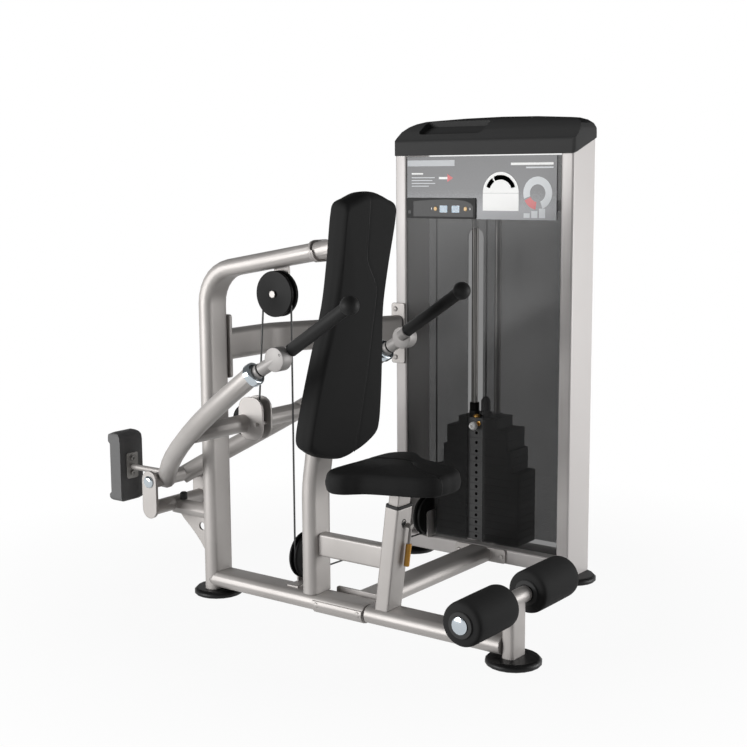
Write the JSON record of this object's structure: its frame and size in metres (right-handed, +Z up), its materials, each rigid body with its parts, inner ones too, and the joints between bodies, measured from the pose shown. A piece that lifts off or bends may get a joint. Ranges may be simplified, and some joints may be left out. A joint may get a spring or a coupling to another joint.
{
  "type": "triceps press machine",
  "caption": "Seated triceps press machine: a counterbalanced lever with turning handles lifts a selector weight stack through a cable.",
  "frame": {"origin": "middle of the footprint box on the floor", "axes": "+X from the rear post to the leg rollers, the way the user faces; +Y from the user to the weight tower, on the user's left; +Z up"},
  "size_m": [1.731, 1.2754, 1.618],
  "materials": {
    "silver_paint": "silver-grey metallic powder coat, semi-gloss",
    "rubber_feet": "matt black rubber",
    "chrome": "bright chrome plate",
    "knuckle_casting": "silver-grey painted casting",
    "grip_rubber": "black rubber sleeve with a smooth ball end",
    "black_plastic": "moulded, fine texture",
    "pulley_nylon": "dark grey nylon",
    "smoked_sheet": "smoked sheet",
    "placard_print": "printed dark grey plate",
    "amber_plastic": "amber plastic",
    "stack_steel": "satin black paint",
    "pin_knob": "white coated knob on a steel pin",
    "counterweight_iron": "black painted casting",
    "black_vinyl": "black vinyl, fine grain",
    "roller_foam": "black covered foam",
    "cable_jacket": "black coated cable"
  },
  "bodies": {
    "frame": {"rear_post": "silver_paint", "back_post": "silver_paint", "main_beam_rear": "silver_paint", "main_beam_front": "silver_paint", "cross_base_beam": "silver_paint", "seat_post": "silver_paint", "roller_post": "silver_paint", "side_brace": "silver_paint", "pivot_bracket": "silver_paint", "tower_post_left": "silver_paint", "tower_post_right": "silver_paint", "tower_base_bar": "silver_paint", "tower_top_bar": "silver_paint", "foot_rear": "rubber_feet", "foot_front": "rubber_feet", "foot_tower_left": "rubber_feet", "foot_tower_right": "rubber_feet", "lever_stop": "rubber_feet", "pivot_axle": "chrome", "guide_rod_left": "chrome", "guide_rod_right": "chrome", "roller_axle": "chrome", "seat_post_bush": "black_plastic", "tower_cap": "black_plastic", "counter_housing": "black_plastic", "back_pad_board": "black_plastic", "front_shroud": "smoked_sheet", "rear_shroud": "smoked_sheet", "placard": "placard_print", "stack_tier_lower": "stack_steel", "stack_tier_middle": "stack_steel", "stack_tier_upper": "stack_steel", "back_pad": "black_vinyl", "cable_run": "cable_jacket"},
    "lever": {"lever_frame": "silver_paint", "lever_pulley": "pulley_nylon", "counterweight": "counterweight_iron", "arm_collar_right": "chrome", "arm_collar_left": "chrome", "cable_lever_strand": "cable_jacket"},
    "stack_head": {"head_plate": "stack_steel", "cable_stack_strand": "cable_jacket"},
    "selector": {"selector_pin": "pin_knob"},
    "handle_right": {"handle_knuckle_right": "knuckle_casting", "grip_right": "grip_rubber"},
    "handle_left": {"handle_knuckle_left": "knuckle_casting", "grip_left": "grip_rubber"},
    "seat": {"seat_carriage": "silver_paint", "seat_cushion": "black_vinyl"},
    "seat_release": {"seat_release_lever": "amber_plastic"},
    "roller_right": {"roller_pad_right": "roller_foam"},
    "roller_left": {"roller_pad_left": "roller_foam"},
    "counter_button_left": {"counter_button_left": "amber_plastic"},
    "counter_button_right": {"counter_button_right": "amber_plastic"},
    "top_pulley": {"top_pulley": "pulley_nylon"},
    "rear_lower_pulley": {"rear_lower_pulley": "pulley_nylon"},
    "tower_lower_pulley": {"tower_lower_pulley": "pulley_nylon"},
    "tower_top_pulley_left": {"tower_top_pulley_left": "pulley_nylon"},
    "tower_top_pulley_right": {"tower_top_pulley_right": "pulley_nylon"}
  },
  "joints": [
    {"name": "lever_arms", "type": "hinge", "parent": "frame", "child": "lever", "pos_m": [-0.5855, -0.27542, 0.385], "axis": [0, 1, 0], "range_deg": [0, 28], "deforming": ["cable_lever_strand"]},
    {"name": "stack_lift", "type": "slide", "parent": "frame", "child": "stack_head", "axis": [0, 0, 1], "range_m": [0, 0.213], "deforming": ["cable_stack_strand"]},
    {"name": "selector_pull", "type": "slide", "parent": "stack_head", "child": "selector", "axis": [0, -1, 0], "range_m": [0, 0.085]},
    {"name": "handle_right_turn", "type": "hinge", "parent": "lever", "child": "handle_right", "pos_m": [0.0695, -0.60242, 0.83], "axis": [0.863, 0.069, 0.5005], "range_deg": [0, 180]},
    {"name": "handle_left_turn", "type": "hinge", "parent": "lever", "child": "handle_left", "pos_m": [0.0695, 0.05158, 0.83], "axis": [-0.863, 0.069, -0.5005], "range_deg": [0, 180]},
    {"name": "seat_height", "type": "slide", "parent": "frame", "child": "seat", "axis": [0.1285, 0, 0.9917], "range_m": [-0.03, 0.1]},
    {"name": "seat_release_turn", "type": "hinge", "parent": "frame", "child": "seat_release", "pos_m": [0.38893, -0.25742, 0.352], "axis": [0.9917, 0, -0.1285], "range_deg": [0, 25], "stiffness_Nm_per_rad": 1},
    {"name": "roller_right_turn", "type": "hinge", "parent": "frame", "child": "roller_right", "pos_m": [0.7815, -0.45542, 0.195], "axis": [0, 1, 0], "continuous": true},
    {"name": "roller_left_turn", "type": "hinge", "parent": "frame", "child": "roller_left", "pos_m": [0.7815, -0.09542, 0.195], "axis": [0, 1, 0], "continuous": true},
    {"name": "counter_button_left_press", "type": "slide", "parent": "frame", "child": "counter_button_left", "axis": [0, 1, 0], "range_m": [0, 0.0016], "stiffness_N_per_m": 300},
    {"name": "counter_button_right_press", "type": "slide", "parent": "frame", "child": "counter_button_right", "axis": [0, 1, 0], "range_m": [0, 0.0016], "stiffness_N_per_m": 300},
    {"name": "top_pulley_spin", "type": "hinge", "parent": "frame", "child": "top_pulley", "pos_m": [-0.1045, -0.27542, 1.042], "axis": [0, -1, 0], "range_deg": [0, 215]},
    {"name": "rear_lower_pulley_spin", "type": "hinge", "parent": "frame", "child": "rear_lower_pulley", "pos_m": [-0.047, -0.21342, 0.176], "axis": [-1, 0, 0], "range_deg": [0, 200]},
    {"name": "tower_lower_pulley_spin", "type": "hinge", "parent": "frame", "child": "tower_lower_pulley", "pos_m": [-0.047, 0.48968, 0.162], "axis": [-1, 0, 0], "range_deg": [0, 195]},
    {"name": "tower_top_left_spin", "type": "hinge", "parent": "frame", "child": "tower_top_pulley_left", "pos_m": [0.003, 0.55368, 1.396], "axis": [0, -1, 0], "range_deg": [0, 248]},
    {"name": "tower_top_right_spin", "type": "hinge", "parent": "frame", "child": "tower_top_pulley_right", "pos_m": [0.1175, 0.55368, 1.396], "axis": [0, -1, 0], "range_deg": [0, 248]}
  ],
  "couplings": [
    {"joint": "stack_lift", "follows": "lever_arms", "m_per_rad": 0.435},
    {"joint": "top_pulley_spin", "follows": "lever_arms", "ratio": 7.5652},
    {"joint": "rear_lower_pulley_spin", "follows": "lever_arms", "ratio": 7.0161},
    {"joint": "tower_lower_pulley_spin", "follows": "lever_arms", "ratio": 6.7969},
    {"joint": "tower_top_left_spin", "follows": "lever_arms", "ratio": 8.7},
    {"joint": "tower_top_right_spin", "follows": "lever_arms", "ratio": 8.7}
  ]
}
